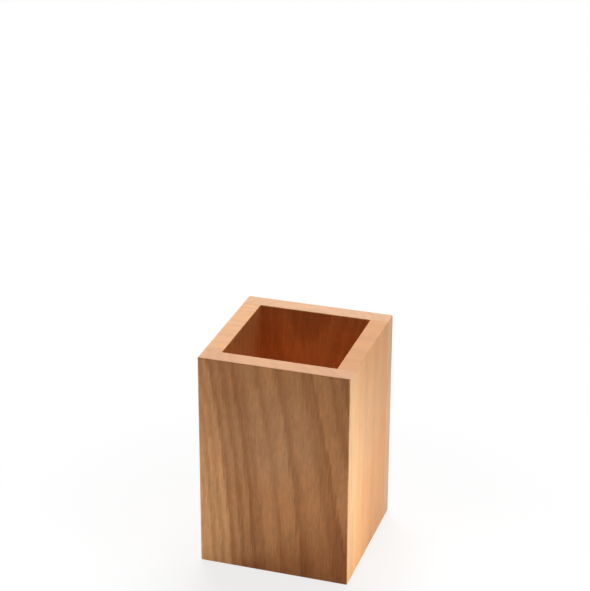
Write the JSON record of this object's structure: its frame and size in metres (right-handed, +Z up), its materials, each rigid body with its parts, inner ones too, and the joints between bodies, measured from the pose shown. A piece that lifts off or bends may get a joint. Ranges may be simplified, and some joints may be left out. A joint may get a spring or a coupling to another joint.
{
  "type": "pen holder",
  "caption": "Square open-topped wooden pen holder: upright boards butt-jointed into a tube round a captured floor panel.",
  "frame": {"origin": "middle of the base, on the surface that the holder stands on", "axes": "+Z up, the front board faces -Y, +X to the right as seen from the front"},
  "size_m": [0.0616, 0.0616, 0.091],
  "materials": {
    "face_board_wood": "satin",
    "side_board_wood": "satin",
    "floor_wood": "satin"
  },
  "bodies": {
    "root": {"front_wall": "face_board_wood", "back_wall": "face_board_wood", "left_wall": "side_board_wood", "right_wall": "side_board_wood", "floor_panel": "floor_wood"}
  },
  "joints": []
}
